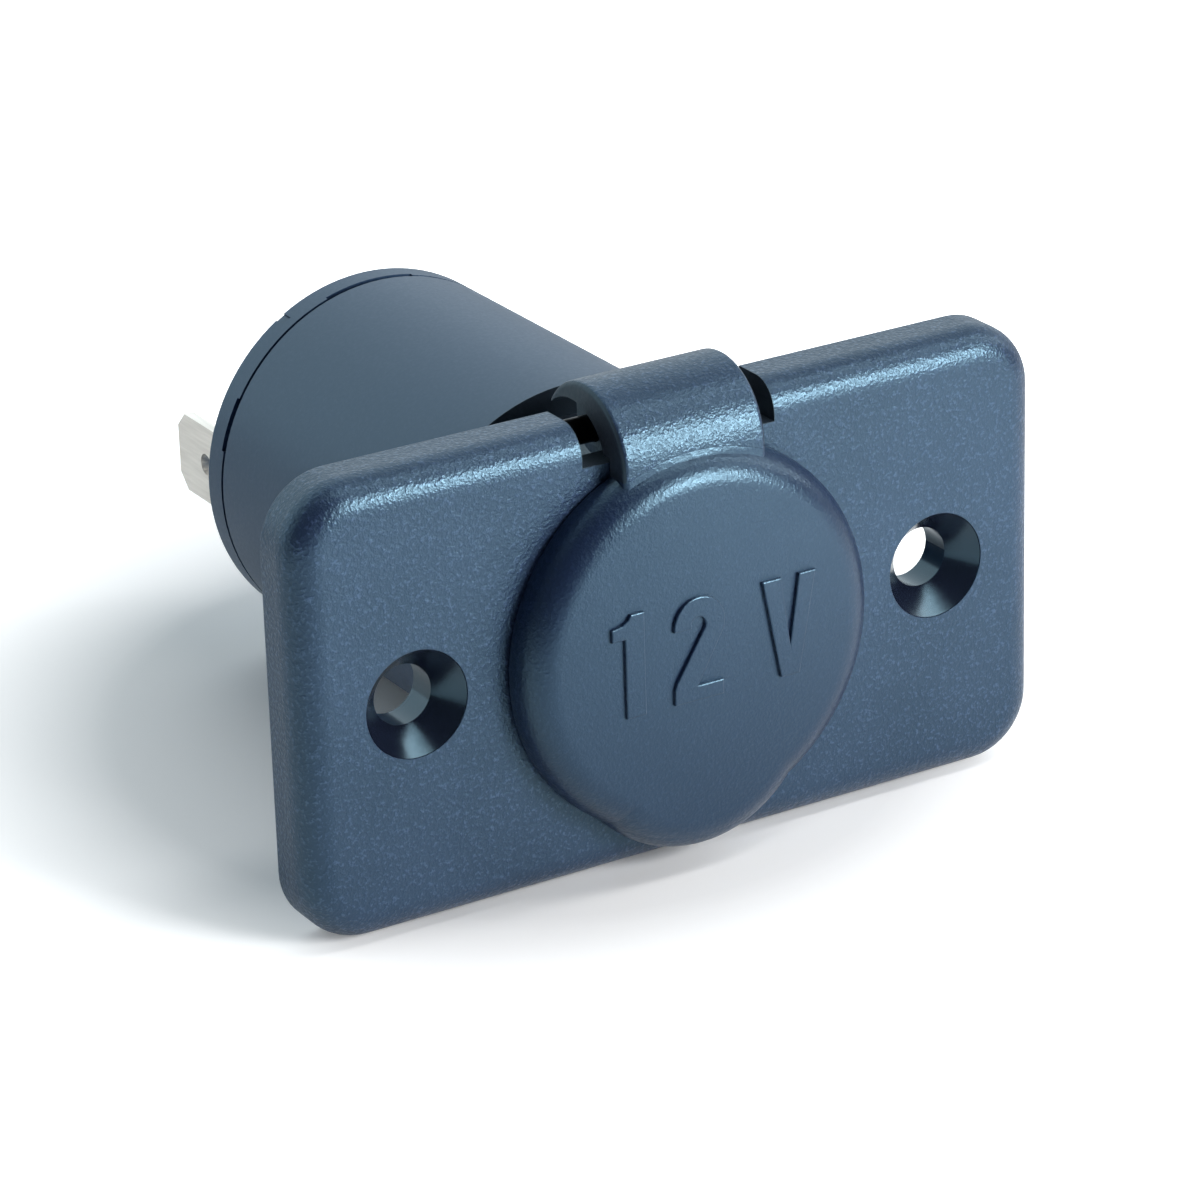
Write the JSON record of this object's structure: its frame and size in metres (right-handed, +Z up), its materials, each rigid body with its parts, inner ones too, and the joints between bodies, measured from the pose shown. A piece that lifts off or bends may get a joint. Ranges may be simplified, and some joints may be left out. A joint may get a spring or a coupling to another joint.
{
  "type": "12 volt power socket",
  "caption": "Car power socket: rectangular screw-on plate with a round sprung lid hinged at its top edge, a barrel behind it and blade terminals at the rear.",
  "frame": {"origin": "on the socket's axis, midway between the two screw holes, on the plate's rear face, which meets the panel", "axes": "-Y out of the socket's mouth, along the bore, +Y behind the panel, +X along the plate to the right as seen from in front, +Z up towards the lid's hinge"},
  "size_m": [0.0612, 0.0566, 0.0359],
  "materials": {
    "plate_plastic": "fine spark-eroded grain, slate blue",
    "lid_plastic": "satin, slate blue",
    "rubber": "matte black",
    "pin_steel": "blackened",
    "spring_steel": "drawn wire",
    "shell_metal": "nickel-plated, drawn",
    "tinned_brass": "tin-plated, rolled",
    "bare_brass": "pressed, satin",
    "phenolic": "laminated paper, brown",
    "bush_plastic": "natural nylon"
  },
  "bodies": {
    "housing": {"housing": "plate_plastic", "rear_cover": "plate_plastic", "hinge_pin": "pin_steel", "hinge_spring": "spring_steel", "contact_shell": "shell_metal", "negative_terminal": "tinned_brass", "small_rivets": "tinned_brass", "inner_insulator": "phenolic", "outer_insulator": "phenolic", "insulating_bush": "bush_plastic", "centre_contact": "bare_brass", "centre_rivet": "bare_brass", "positive_terminal": "tinned_brass", "spring_washer": "spring_steel", "rivet_washer": "bare_brass"},
    "lid": {"lid": "lid_plastic", "lid_seal": "rubber"}
  },
  "joints": [
    {"name": "lid_hinge", "type": "hinge", "parent": "housing", "child": "lid", "pos_m": [0, 0.001, 0.0146], "axis": [-1, 0, 0], "range_deg": [0, 95], "stiffness_Nm_per_rad": 0.006, "springref_deg": -91.67, "deforming": ["hinge_spring"]}
  ]
}
